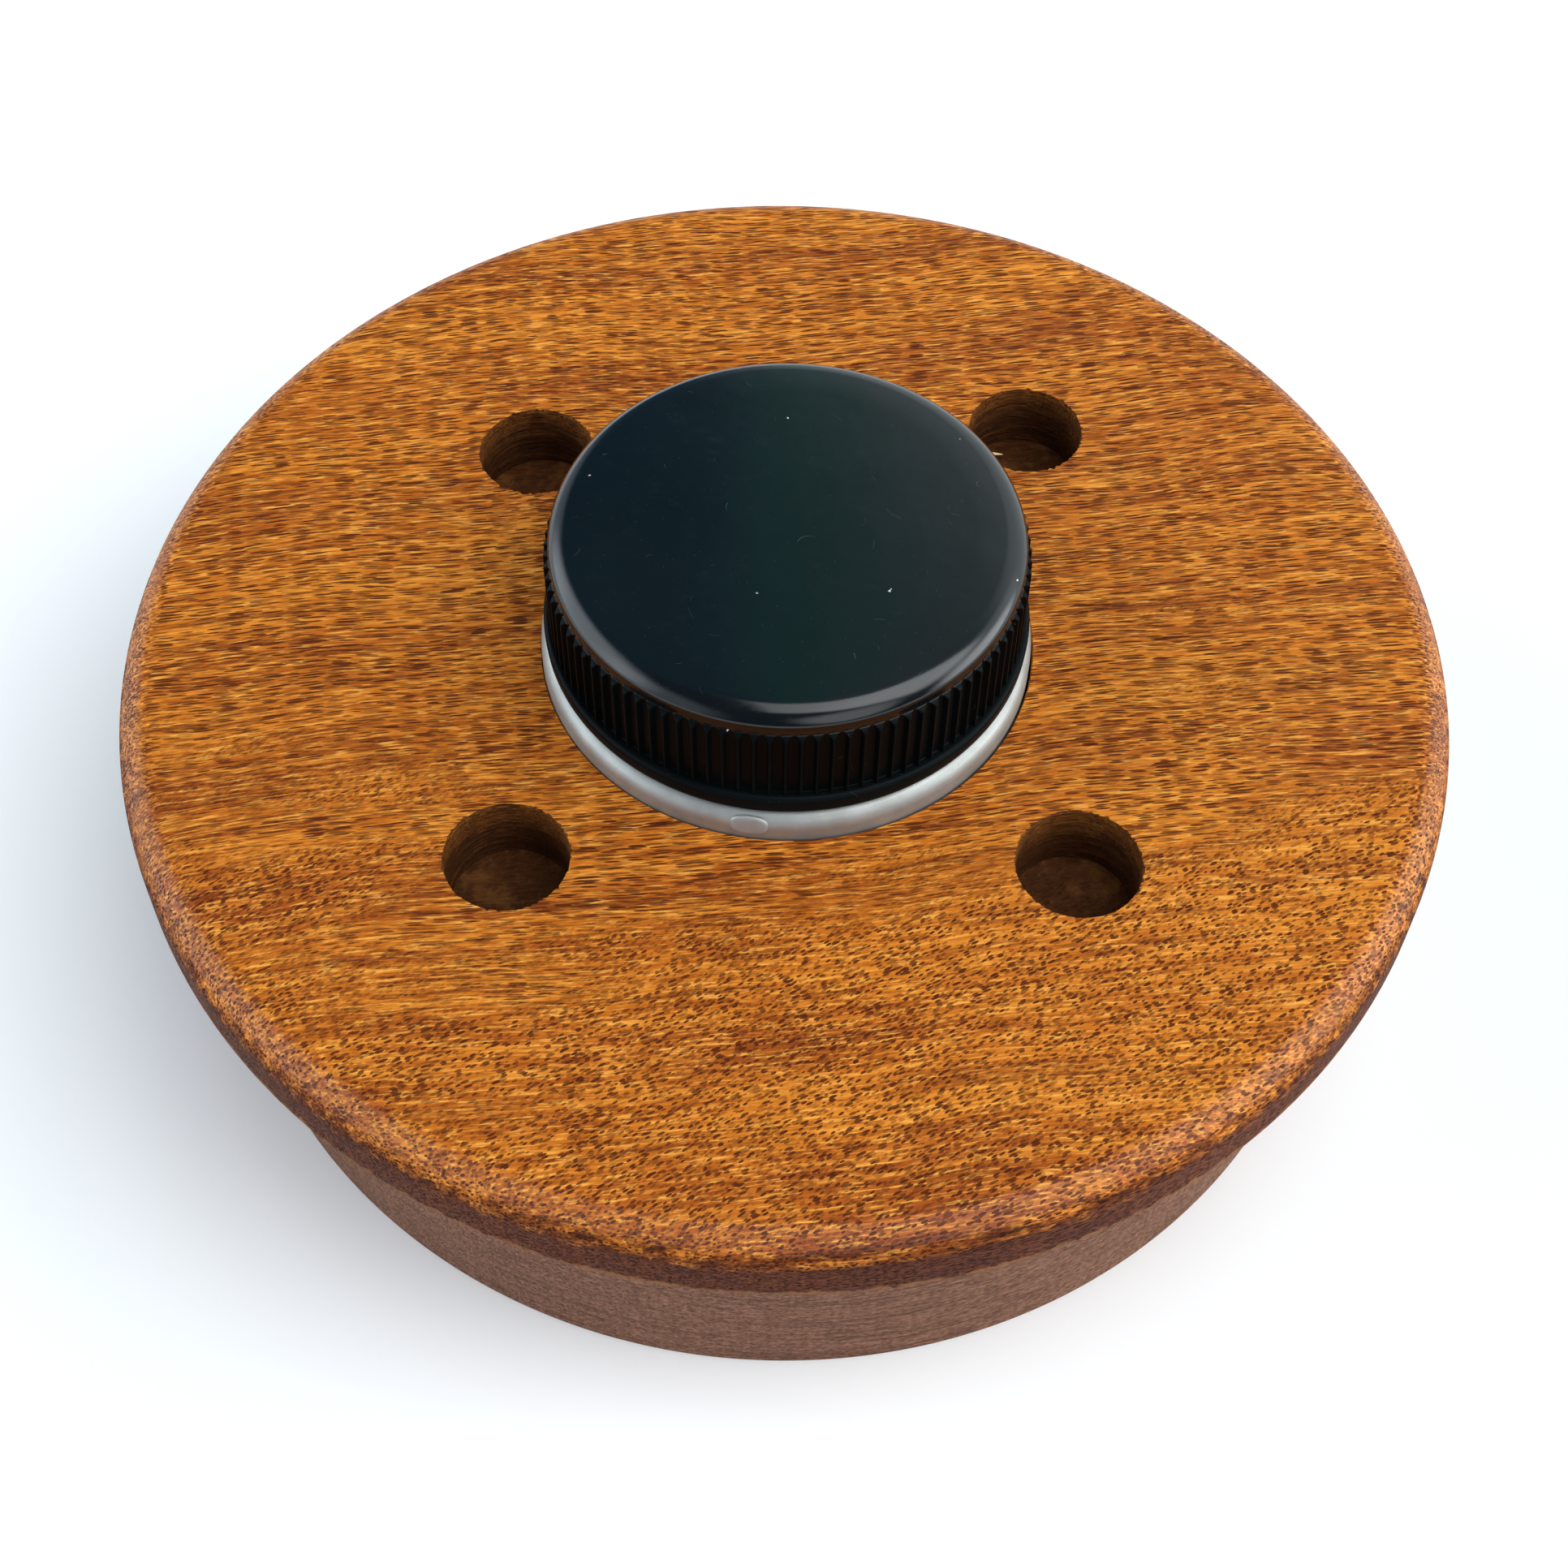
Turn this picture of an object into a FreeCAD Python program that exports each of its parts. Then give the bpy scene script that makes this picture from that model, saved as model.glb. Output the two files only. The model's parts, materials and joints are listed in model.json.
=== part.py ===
import FreeCAD, Part
import math
import os

import Sketcher

# A turned wooden stand with a lift-out aluminium jar and a ribbed screw cap.
# Millimetres, +Z up; the origin is the centre of the foot's underside.

os.makedirs("parts", exist_ok=True)
doc = FreeCAD.newDocument("puck_stand")

DIMENSIONS = [
    # turned base
    ("thickness", 32.0, "underside of the foot to the top face"),
    ("disc_radius", 56.0, "flange"),
    ("flange_depth", 7.25, "top face to the sharp lower edge"),
    ("roundover", 3.5, "rounded top edge of the flange"),
    ("foot_radius", 51.0, "narrower foot below the flange"),
    ("foot_break", 0.2, "broken bottom edge of the foot"),
    ("floor", 6.0, "wood left under the pocket"),
    ("pocket_gap", 0.3, "radial play of the jar in its pocket"),
    # four hand-drilled holes: angle from +X and distance from the axis
    ("hole_radius", 5.0, "all four holes"),
    ("hole_depth", 6.5, "flat-bottomed"),
    ("angle_front_left", 226.2, ""),
    ("angle_front_right", 316.4, ""),
    ("angle_back_left", 137.3, ""),
    ("angle_back_right", 49.2, ""),
    ("reach_front_left", 31.4, ""),
    ("reach_front_right", 32.4, ""),
    ("reach_back_left", 30.7, ""),
    ("reach_back_right", 32.4, ""),
    # jar
    ("jar_radius", 20.5, "straight wall"),
    ("jar_wall", 0.8, "sheet thickness"),
    ("shoulder_rise", 2.5, "top of the wood to the top of the shoulder"),
    ("shoulder_round", 1.5, "outer shoulder"),
    ("jar_foot_round", 1.0, "bottom edge"),
    ("neck_radius", 16.6, "root of the neck thread"),
    ("neck_height", 9.35, "shoulder to lip"),
    ("nub_angle", 262.5, "oval nub on the shoulder, from +X"),
    ("nub_half_width", 1.55, "along the wall"),
    ("nub_half_height", 0.75, "up the wall"),
    ("nub_lift", 0.55, "its middle above the foot of the shoulder's curve"),
    ("nub_rise", 0.2, "proud of the wall"),
    # screw thread shared by neck and cap
    ("pitch", 4.233, "six threads to the inch"),
    ("thread_turns", 1.25, "length of each ridge"),
    ("thread_start", 1.8, "shoulder to the middle of the ridge where it starts"),
    ("ridge_foot", 1.7, "width where the ridge meets its wall"),
    ("ridge_crest", 0.9, "width of its top"),
    ("ridge_depth", 1.0, "height of the ridge"),
    ("ridge_root", 0.3, "length sunk into the wall"),
    # cap
    ("cap_gap", 0.25, "shoulder to the cap's lower edge"),
    ("cap_height", 11.4, "lower edge to the crown's edge"),
    ("dome_rise", 0.25, "crown above its edge"),
    ("crown_radius", 19.2, "smooth band above the ribs"),
    ("crown_drop", 1.24, "crown's edge to the top of the band"),
    ("crown_lean", 0.69, "how far the slope between them leans in"),
    ("crown_round", 2.3, "rounded shoulder of the crown"),
    ("skirt_radius", 19.2, "between the ribs, at the bead"),
    ("bead_radius", 20.1, "smooth bead at the bottom"),
    ("bead_height", 1.9, "lower edge to the ribs"),
    ("bead_round", 0.5, "upper edge of the bead"),
    ("bore_radius", 17.9, "inside of the cap"),
    ("ceiling", 9.9, "lower edge to the cap's inner face"),
    ("rib_top", 9.2, "lower edge to the top of the ribs"),
    ("rib_count", 100, ""),
    ("rib_rise", 0.45, "crest above the skirt"),
    ("rib_half", 0.3, "half its width at the skirt"),
    # liner
    ("liner_radius", 17.5, ""),
    ("liner_depth", 0.8, ""),
]

HOLES = ["front_left", "front_right", "back_left", "back_right"]

# heights above the underside, as expressions of the sheet
WOOD_TOP = "dims.thickness"
SHOULDER = "(dims.thickness + dims.shoulder_rise)"
CAP_FOOT = "(dims.thickness + dims.shoulder_rise + dims.cap_gap)"


def make_sheet():
    sheet = doc.addObject("Spreadsheet::Sheet", "dims")
    for row, (name, value, note) in enumerate(DIMENSIONS, start=1):
        sheet.set(f"A{row}", name)
        sheet.set(f"B{row}", str(value))
        sheet.set(f"C{row}", note)
        sheet.setAlias(f"B{row}", name)
    doc.recompute()
    return sheet


dims = make_sheet()


def number(expression):
    """The value of an expression of the sheet, as a plain number."""
    value = dims.evalExpression(expression.replace("dims.", ""))
    return float(getattr(value, "Value", value))


def make_body(name):
    body = doc.addObject("PartDesign::Body", name)
    body.Label = name
    doc.recompute()
    return body


def make_sketch(body, name, plane, height="0"):
    """An empty sketch on one of the body's own origin planes, raised by an expression."""
    sketch = body.newObject("Sketcher::SketchObject", name)
    origin = next(item for item in body.Origin.OriginFeatures if item.Role == plane)
    sketch.AttachmentSupport = [(origin, "")]
    sketch.MapMode = "FlatFace"
    if height != "0":
        sketch.setExpression("AttachmentOffset.Base.z", height)
    return sketch


def pin_point(sketch, line, end, corner):
    """Hold one end of a line at a pair of expressions."""
    axes = {"DistanceX": -2, "DistanceY": -1}
    for kind, expression in zip(axes, corner):
        if expression == "0":
            sketch.addConstraint(Sketcher.Constraint("PointOnObject", line, end, axes[kind]))
            continue
        rule = Sketcher.Constraint(kind, -1, 1, line, end, number(expression))
        sketch.setExpression(f"Constraints[{sketch.addConstraint(rule)}]", expression)


def draw_outline(sketch, corners, domed=False):
    """A closed outline through corners given as expressions; a domed one ends in an arc about the axis."""
    spots = [FreeCAD.Vector(number(x), number(y), 0) for x, y in corners]
    count = len(corners)
    for index in range(count):
        start, end = spots[index], spots[(index + 1) % count]
        if domed and index == count - 1:
            rise = start.y - end.y
            radius = (end.x ** 2 + rise ** 2) / (2 * rise)
            middle = FreeCAD.Vector(0, start.y - radius, 0)
            lean = math.acos((radius - rise) / radius)
            circle = Part.Circle(middle, FreeCAD.Vector(0, 0, 1), radius)
            sketch.addGeometry(Part.ArcOfCircle(circle, math.pi / 2 - lean, math.pi / 2))
            sketch.addConstraint(Sketcher.Constraint("PointOnObject", index, 3, -2))
        else:
            sketch.addGeometry(Part.LineSegment(start, end))
    for index in range(count):
        after = (index + 1) % count
        arc_here = domed and index == count - 1
        arc_next = domed and after == count - 1
        finish = 1 if arc_here else 2
        begin = 2 if arc_next else 1
        sketch.addConstraint(Sketcher.Constraint("Coincident", index, finish, after, begin))
        if not arc_here:
            pin_point(sketch, index, 1, corners[index])
    if domed:
        pin_point(sketch, count - 1, 2, corners[count - 1])
    doc.recompute()


def revolve(body, name, corners, domed=False):
    sketch = make_sketch(body, name + "_outline", "XZ_Plane")
    draw_outline(sketch, corners, domed)
    turned = body.newObject("PartDesign::Revolution", name)
    turned.Profile = sketch
    turned.ReferenceAxis = (sketch, ["V_Axis"])
    turned.Angle = 360
    doc.recompute()
    return turned


def drill(body, name, height, radius, depth, place=None):
    """A round flat-bottomed hole sunk from a height; place is its (x, y) as expressions."""
    sketch = make_sketch(body, name + "_circle", "XY_Plane", height)
    if place:
        sketch.setExpression("AttachmentOffset.Base.x", place[0])
        sketch.setExpression("AttachmentOffset.Base.y", place[1])
    sketch.addGeometry(Part.Circle(FreeCAD.Vector(), FreeCAD.Vector(0, 0, 1), number(radius)))
    sketch.addConstraint(Sketcher.Constraint("Coincident", 0, 3, -1, 1))
    ring = sketch.addConstraint(Sketcher.Constraint("Radius", 0, number(radius)))
    sketch.setExpression(f"Constraints[{ring}]", radius)
    doc.recompute()
    before = body.Shape.Volume
    hole = body.newObject("PartDesign::Pocket", name)
    hole.Profile = sketch
    hole.setExpression("Length", depth)
    doc.recompute()
    removed = before - body.Shape.Volume
    expected = math.pi * number(radius) ** 2 * number(depth)
    if abs(removed - expected) > 0.01 * expected:
        raise RuntimeError(f"{name} cut {removed:.1f} mm3 and not {expected:.1f}")
    return hole


def round_edges(body, kind, name, size, rings):
    """A fillet or chamfer on the circular edges that lie at the given (radius, height) pairs."""
    base = body.Tip
    wanted = []
    for edge_number, edge in enumerate(base.Shape.Edges, start=1):
        if edge.Degenerated or not isinstance(edge.Curve, Part.Circle):
            continue
        curve = edge.Curve
        for radius, height in rings:
            level = abs(curve.Center.z - number(height)) < 1e-4
            if level and abs(curve.Radius - number(radius)) < 1e-4:
                wanted.append(f"Edge{edge_number}")
    if not wanted:
        raise RuntimeError(f"{name} found no edge")
    eased = body.newObject("PartDesign::" + kind, name)
    eased.Base = (base, wanted)
    eased.setExpression("Radius" if kind == "Fillet" else "Size", size)
    doc.recompute()
    return eased


def add_thread(body, name, wall, inward):
    """One helical ridge; a cap's ridge points inward and starts half a turn from the neck's."""
    side = "-1" if inward else "1"
    step = "-1" if inward else "1"
    root = f"{side} * ({wall} - {step} * dims.ridge_root)"
    crest = f"{side} * ({wall} + {step} * dims.ridge_depth)"
    middle = f"{SHOULDER} + dims.thread_start"
    corners = [
        (root, f"{middle} - dims.ridge_foot / 2"),
        (crest, f"{middle} - dims.ridge_crest / 2"),
        (crest, f"{middle} + dims.ridge_crest / 2"),
        (root, f"{middle} + dims.ridge_foot / 2"),
    ]
    sketch = make_sketch(body, name + "_outline", "XZ_Plane")
    draw_outline(sketch, corners)
    ridge = body.newObject("PartDesign::AdditiveHelix", name)
    ridge.Profile = sketch
    ridge.ReferenceAxis = (sketch, ["V_Axis"])
    ridge.Mode = "pitch-turns-angle"
    ridge.setExpression("Pitch", "dims.pitch")
    ridge.setExpression("Turns", "dims.thread_turns")
    ridge.LeftHanded = False
    doc.recompute()
    return ridge


def make_base():
    body = make_body("wooden_base")
    lower_edge = "dims.thickness - dims.flange_depth"
    revolve(body, "turned_block", [
        ("0", "0"),
        ("dims.foot_radius", "0"),
        ("dims.foot_radius", lower_edge),
        ("dims.disc_radius", lower_edge),
        ("dims.disc_radius", WOOD_TOP),
        ("0", WOOD_TOP),
    ])
    round_edges(body, "Fillet", "top_roundover", "dims.roundover", [("dims.disc_radius", WOOD_TOP)])
    round_edges(body, "Chamfer", "foot_break", "dims.foot_break", [("dims.foot_radius", "0")])
    pocket = "dims.jar_radius + dims.pocket_gap"
    drill(body, "jar_pocket", WOOD_TOP, pocket, "dims.thickness - dims.floor")
    for hole in HOLES:
        reach, angle = f"dims.reach_{hole}", f"dims.angle_{hole}"
        place = (f"{reach} * cos({angle})", f"{reach} * sin({angle})")
        drill(body, "hole_" + hole, WOOD_TOP, "dims.hole_radius", "dims.hole_depth", place)
    return body


def make_jar():
    body = make_body("jar")
    lip = f"{SHOULDER} + dims.neck_height"
    revolve(body, "drawn_shell", [
        ("0", "dims.floor"),
        ("dims.jar_radius", "dims.floor"),
        ("dims.jar_radius", SHOULDER),
        ("dims.neck_radius", SHOULDER),
        ("dims.neck_radius", lip),
        ("dims.neck_radius - dims.jar_wall", lip),
        ("dims.neck_radius - dims.jar_wall", f"{SHOULDER} - dims.jar_wall"),
        ("dims.jar_radius - dims.jar_wall", f"{SHOULDER} - dims.jar_wall"),
        ("dims.jar_radius - dims.jar_wall", "dims.floor + dims.jar_wall"),
        ("0", "dims.floor + dims.jar_wall"),
    ])
    inner_wall = "dims.jar_radius - dims.jar_wall"
    round_edges(body, "Fillet", "shoulder_round", "dims.shoulder_round", [("dims.jar_radius", SHOULDER)])
    round_edges(body, "Fillet", "inner_shoulder", "dims.shoulder_round - dims.jar_wall",
                [(inner_wall, f"{SHOULDER} - dims.jar_wall")])
    round_edges(body, "Fillet", "foot_round", "dims.jar_foot_round", [("dims.jar_radius", "dims.floor")])
    lip_edges = [("dims.neck_radius", lip), ("dims.neck_radius - dims.jar_wall", lip)]
    round_edges(body, "Fillet", "lip_round", "dims.jar_wall * 0.4", lip_edges)
    add_thread(body, "neck_thread", "dims.neck_radius", inward=False)
    add_nub(body)
    return body


def draw_slot(sketch, half_width, half_height):
    """A level slot with round ends, centred on the sketch's origin."""
    wide, high = number(half_width) - number(half_height), number(half_height)
    up = FreeCAD.Vector(0, 0, 1)
    right = Part.Circle(FreeCAD.Vector(wide, 0, 0), up, high)
    left = Part.Circle(FreeCAD.Vector(-wide, 0, 0), up, high)
    sketch.addGeometry(Part.LineSegment(FreeCAD.Vector(-wide, -high, 0), FreeCAD.Vector(wide, -high, 0)))
    sketch.addGeometry(Part.ArcOfCircle(right, -math.pi / 2, math.pi / 2))
    sketch.addGeometry(Part.LineSegment(FreeCAD.Vector(wide, high, 0), FreeCAD.Vector(-wide, high, 0)))
    sketch.addGeometry(Part.ArcOfCircle(left, math.pi / 2, 3 * math.pi / 2))
    for side in range(4):
        sketch.addConstraint(Sketcher.Constraint("Tangent", side, 2, (side + 1) % 4, 1))
    sketch.addConstraint(Sketcher.Constraint("Horizontal", 0))
    sketch.addConstraint(Sketcher.Constraint("Symmetric", 1, 3, 3, 3, -1, 1))
    end = sketch.addConstraint(Sketcher.Constraint("Radius", 1, high))
    sketch.setExpression(f"Constraints[{end}]", half_height)
    reach = sketch.addConstraint(Sketcher.Constraint("DistanceX", -1, 1, 1, 3, wide))
    sketch.setExpression(f"Constraints[{reach}]", f"{half_width} - {half_height}")


def add_nub(body):
    """The small raised oval on the jar's shoulder, its foot sunk in the sheet and its face rounded."""
    middle = f"{SHOULDER} - dims.shoulder_round + dims.nub_lift"
    sunk = "(dims.jar_radius - dims.jar_wall * 0.9)"
    sketch = make_sketch(body, "nub_outline", "YZ_Plane")
    sketch.AttachmentOffset = FreeCAD.Placement(FreeCAD.Vector(), FreeCAD.Rotation(FreeCAD.Vector(0, 1, 0), 1))
    sketch.setExpression("AttachmentOffset.Rotation.Angle", "dims.nub_angle")
    sketch.setExpression("AttachmentOffset.Base.x", f"{sunk} * sin(dims.nub_angle)")
    sketch.setExpression("AttachmentOffset.Base.y", middle)
    sketch.setExpression("AttachmentOffset.Base.z", f"{sunk} * cos(dims.nub_angle)")
    draw_slot(sketch, "dims.nub_half_width", "dims.nub_half_height")
    doc.recompute()
    nub = body.newObject("PartDesign::Pad", "nub")
    nub.Profile = sketch
    nub.setExpression("Length", "dims.jar_wall * 0.9 + dims.nub_rise")
    doc.recompute()
    turn = math.radians(number("dims.nub_angle"))
    outward = FreeCAD.Vector(math.cos(turn), math.sin(turn), 0)
    face_reach = number("dims.jar_radius") + number("dims.nub_rise")
    rim = []
    for edge_number, edge in enumerate(nub.Shape.Edges, start=1):
        if all(abs(vertex.Point.dot(outward) - face_reach) < 1e-4 for vertex in edge.Vertexes):
            rim.append(f"Edge{edge_number}")
    rounded = body.newObject("PartDesign::Fillet", "nub_round")
    rounded.Base = (nub, rim)
    rounded.setExpression("Radius", "dims.nub_rise * 0.8")
    doc.recompute()


def make_cap():
    body = make_body("cap_shell")
    crown = f"{CAP_FOOT} + dims.cap_height"
    crown_edge = "dims.crown_radius - dims.crown_lean"
    revolve(body, "moulded_shell", [
        ("0", f"{CAP_FOOT} + dims.ceiling"),
        ("dims.bore_radius", f"{CAP_FOOT} + dims.ceiling"),
        ("dims.bore_radius", CAP_FOOT),
        ("dims.bead_radius", CAP_FOOT),
        ("dims.bead_radius", f"{CAP_FOOT} + dims.bead_height"),
        ("dims.skirt_radius", f"{CAP_FOOT} + dims.bead_height"),
        ("dims.crown_radius", f"{CAP_FOOT} + dims.rib_top"),
        ("dims.crown_radius", f"{crown} - dims.crown_drop"),
        (crown_edge, crown),
        ("0", f"{crown} + dims.dome_rise"),
    ], domed=True)
    round_edges(body, "Fillet", "crown_round", "dims.crown_round", [(crown_edge, crown)])
    bead_top = f"{CAP_FOOT} + dims.bead_height"
    round_edges(body, "Fillet", "bead_round", "dims.bead_round", [("dims.bead_radius", bead_top)])
    add_ribs(body)
    add_thread(body, "cap_thread", "dims.bore_radius", inward=True)
    return body


def rib_section(body, name, wall, height):
    """A three-cornered section with its point outward and its foot sunk in the skirt."""
    sketch = make_sketch(body, name, "XY_Plane", height)
    foot = f"{wall} - dims.rib_half"
    draw_outline(sketch, [
        (foot, "-2 * dims.rib_half"),
        (f"{wall} + dims.rib_rise", "0"),
        (foot, "2 * dims.rib_half"),
    ])
    return sketch


def add_ribs(body):
    lower = rib_section(body, "rib_lower", "dims.skirt_radius", f"{CAP_FOOT} + dims.bead_height / 2")
    upper = rib_section(body, "rib_upper", "dims.crown_radius", f"{CAP_FOOT} + dims.rib_top")
    rib = body.newObject("PartDesign::AdditiveLoft", "rib")
    rib.Profile = lower
    rib.Sections = [upper]
    rib.Ruled = True
    doc.recompute()
    ribs = body.newObject("PartDesign::PolarPattern", "ribs")
    ribs.Originals = [rib]
    axis = next(item for item in body.Origin.OriginFeatures if item.Role == "Z_Axis")
    ribs.Axis = (axis, [""])
    ribs.Angle = 360
    ribs.setExpression("Occurrences", "dims.rib_count")
    body.Tip = ribs
    doc.recompute()


def make_liner():
    liner = doc.addObject("Part::Cylinder", "cap_liner")
    liner.Label = "cap_liner"
    liner.setExpression("Radius", "dims.liner_radius")
    liner.setExpression("Height", "dims.liner_depth")
    liner.setExpression("Placement.Base.z", f"{CAP_FOOT} + dims.ceiling - dims.liner_depth")
    doc.recompute()
    return liner


def export(pieces):
    for item in doc.Objects:
        if "Invalid" in item.State or "Error" in item.State:
            raise RuntimeError(f"{item.Name} is {item.State}")
    for piece in pieces:
        shape = piece.Shape
        if shape.isNull() or not shape.isValid() or len(shape.Solids) != 1:
            raise RuntimeError(f"{piece.Label} isn't one valid solid")
        shape.exportStep(os.path.join("parts", piece.Label + ".step"))
        print(piece.Label, round(shape.Volume, 1), "mm3")


export([make_base(), make_jar(), make_cap(), make_liner()])
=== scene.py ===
"""Turned wooden stand holding a lift-out aluminium jar with a ribbed black screw cap."""
import json
import math

import bmesh
import bpy
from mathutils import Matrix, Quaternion, Vector, noise


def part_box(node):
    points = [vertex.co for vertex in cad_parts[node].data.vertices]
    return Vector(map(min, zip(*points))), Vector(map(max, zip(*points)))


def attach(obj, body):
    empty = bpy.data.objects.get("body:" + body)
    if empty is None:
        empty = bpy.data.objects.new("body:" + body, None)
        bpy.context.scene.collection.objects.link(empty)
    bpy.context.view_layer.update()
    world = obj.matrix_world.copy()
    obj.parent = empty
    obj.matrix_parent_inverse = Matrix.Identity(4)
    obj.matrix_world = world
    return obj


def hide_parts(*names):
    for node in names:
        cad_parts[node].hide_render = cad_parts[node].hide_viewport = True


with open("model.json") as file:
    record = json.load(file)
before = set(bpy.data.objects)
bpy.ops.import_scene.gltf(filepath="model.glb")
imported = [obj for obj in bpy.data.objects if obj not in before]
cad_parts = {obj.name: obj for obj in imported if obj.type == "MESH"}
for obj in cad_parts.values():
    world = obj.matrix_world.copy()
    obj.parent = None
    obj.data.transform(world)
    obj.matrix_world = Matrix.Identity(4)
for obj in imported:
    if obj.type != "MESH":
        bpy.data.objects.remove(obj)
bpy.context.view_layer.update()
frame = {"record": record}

# ---------------------------------------------------------------- sizes in metres
# outer corners and the holes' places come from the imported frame; most other sizes repeat part.py's
MM = 0.001
_, base_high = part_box("wooden_base")
jar_low, jar_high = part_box("jar")
cap_low, cap_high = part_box("cap_shell")
liner_low, liner_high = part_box("cap_liner")
PEG_HOLE_RADIUS = 5.0 * MM
PEG_HOLE_DEPTH = 6.5 * MM
PEG_HOLES = {}
for opening in frame["record"]["physics"]["openings"]:
    if opening["name"].startswith("hole_"):
        low, high = opening["box_m"]
        PEG_HOLES[opening["name"]] = Vector(((low[0] + high[0]) / 2, (low[1] + high[1]) / 2, 0))

WOOD_TOP = base_high.z
DISC_RADIUS = base_high.x
FOOT_RADIUS = DISC_RADIUS - 5.0 * MM
FLANGE_DEPTH = 7.25 * MM
ROUNDOVER = 3.5 * MM
ARRIS = 0.12 * MM
JAR_RADIUS = jar_high.x
POCKET_RADIUS = JAR_RADIUS + 0.3 * MM
POCKET_FLOOR = jar_low.z
SHOULDER = WOOD_TOP + 2.5 * MM
SHOULDER_ROUND = 1.5 * MM
JAR_WALL = 0.8 * MM
NECK_RADIUS = 16.6 * MM
NECK_TOP = jar_high.z
CAP_FOOT = cap_low.z
CAP_TOP = cap_high.z
BEAD_RADIUS = cap_high.x
BEAD_TOP = CAP_FOOT + 1.9 * MM
SKIRT_RADIUS = 19.2 * MM
CROWN_RADIUS = 19.2 * MM
CROWN_ROUND = 2.3 * MM
CROWN_DROP = 1.24 * MM
CROWN_LEAN = 0.69 * MM
DOME_RISE = 0.25 * MM
CAP_BORE = 17.9 * MM
RIB_TOP = CAP_FOOT + 9.2 * MM
RIB_RISE = 0.45 * MM
RIB_SLOPE = 0.50 * MM
FLUTE_ARCH = 0.60 * MM
RIBS = 100
RIB_PHASE = math.radians(0.4)
PITCH = 4.233 * MM
THREAD_TURNS = 1.25
THREAD_START = SHOULDER + 1.8 * MM

# the thread ridge: steps along it, how much of it tapers (one part in nine at each end), and in
# millimetres its height at the ends and what it gains, its foot in the wall, and its half widths
RIDGE_STEPS = 260
RIDGE_TAPER = 9
RIDGE_END, RIDGE_GAIN = 0.02, 0.93
RIDGE_SUNK, RIDGE_FLARE = 0.3, 0.15
RIDGE_HALF_WIDTHS = (0.85, 0.78, 0.38)

# edges between faces that meet at more than this many degrees stay sharp
SHARP_ANGLE = 32.0


# ---------------------------------------------------------------- mesh helpers
def arc(middle, radius, start, finish, steps):
    """Points of a circular arc in a profile, angles in degrees from outward to up."""
    points = []
    for step in range(steps + 1):
        turn = math.radians(start + (finish - start) * step / steps)
        points.append((middle[0] + radius * math.cos(turn), middle[1] + radius * math.sin(turn)))
    return points


def spin(mesh, profile, turns, shape=None):
    """Turn a profile that starts and ends on the axis into a closed skin of a bmesh."""
    rows = []
    for row, (radius, height) in enumerate(profile):
        if radius < 1e-9:
            rows.append([mesh.verts.new((0, 0, height))])
            continue
        ring = []
        for turn in turns:
            out = shape(radius, height, turn, row) if shape else radius
            ring.append(mesh.verts.new((out * math.cos(turn), out * math.sin(turn), height)))
        rows.append(ring)
    count = len(turns)
    for lower, upper in zip(rows, rows[1:]):
        for here in range(count):
            after = (here + 1) % count
            corners = [lower[here % len(lower)], lower[after % len(lower)]]
            corners += [upper[after % len(upper)], upper[here % len(upper)]]
            mesh.faces.new(list(dict.fromkeys(corners)))


def even_turns(count):
    return [2 * math.pi * step / count for step in range(count)]


def skin(mesh, loops):
    """Join loops of vertices into a tube with closed ends."""
    for one, two in zip(loops, loops[1:]):
        for here in range(len(one)):
            after = (here + 1) % len(one)
            mesh.faces.new((one[here], one[after], two[after], two[here]))
    mesh.faces.new(loops[0])
    mesh.faces.new(list(reversed(loops[-1])))


def thread_ridge(mesh, wall, inward):
    """A helical ridge with tapered ends; the cap's points inward, half a turn from the neck's."""
    side = -1 if inward else 1
    phase = math.pi if inward else 0.0
    foot_half, flare_half, crest_half = RIDGE_HALF_WIDTHS
    loops = []
    for step in range(RIDGE_STEPS + 1):
        share = step / RIDGE_STEPS
        turn = phase + 2 * math.pi * THREAD_TURNS * share
        height = THREAD_START + PITCH * THREAD_TURNS * share
        taper = min(1.0, RIDGE_TAPER * share, RIDGE_TAPER * (1 - share))
        crest = wall + side * (RIDGE_END + RIDGE_GAIN * math.sin(taper * math.pi / 2)) * MM
        root = wall - side * RIDGE_SUNK * MM
        flare = wall + side * RIDGE_FLARE * MM
        section = [(root, -foot_half), (flare, -flare_half), (crest, -crest_half)]
        section += [(radius, -level) for radius, level in reversed(section)]
        loop = []
        for radius, level in section:
            spot = (radius * math.cos(turn), radius * math.sin(turn), height + level * MM)
            loop.append(mesh.verts.new(spot))
        loops.append(loop)
    skin(mesh, loops)


def smooth(data, sharp=SHARP_ANGLE):
    """Shade a mesh smooth, but for its sharp edges."""
    data.shade_smooth()
    data.set_sharp_from_angle(angle=math.radians(sharp))


def finish_mesh(name, mesh, sharp=SHARP_ANGLE):
    """A smooth-shaded object with its edges sharp above an angle in degrees."""
    bmesh.ops.recalc_face_normals(mesh, faces=mesh.faces)
    data = bpy.data.meshes.new(name)
    mesh.to_mesh(data)
    mesh.free()
    smooth(data, sharp)
    piece = bpy.data.objects.new(name, data)
    bpy.context.scene.collection.objects.link(piece)
    return piece


def cut_away(piece, cutter):
    """Subtract one closed object from another and keep the result as a plain mesh."""
    modifier = piece.modifiers.new("cut", "BOOLEAN")
    modifier.operation = "DIFFERENCE"
    modifier.solver = "EXACT"
    modifier.object = cutter
    graph = bpy.context.evaluated_depsgraph_get()
    data = bpy.data.meshes.new_from_object(piece.evaluated_get(graph))
    piece.modifiers.clear()
    piece.data = data
    bpy.data.objects.remove(cutter)


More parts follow.
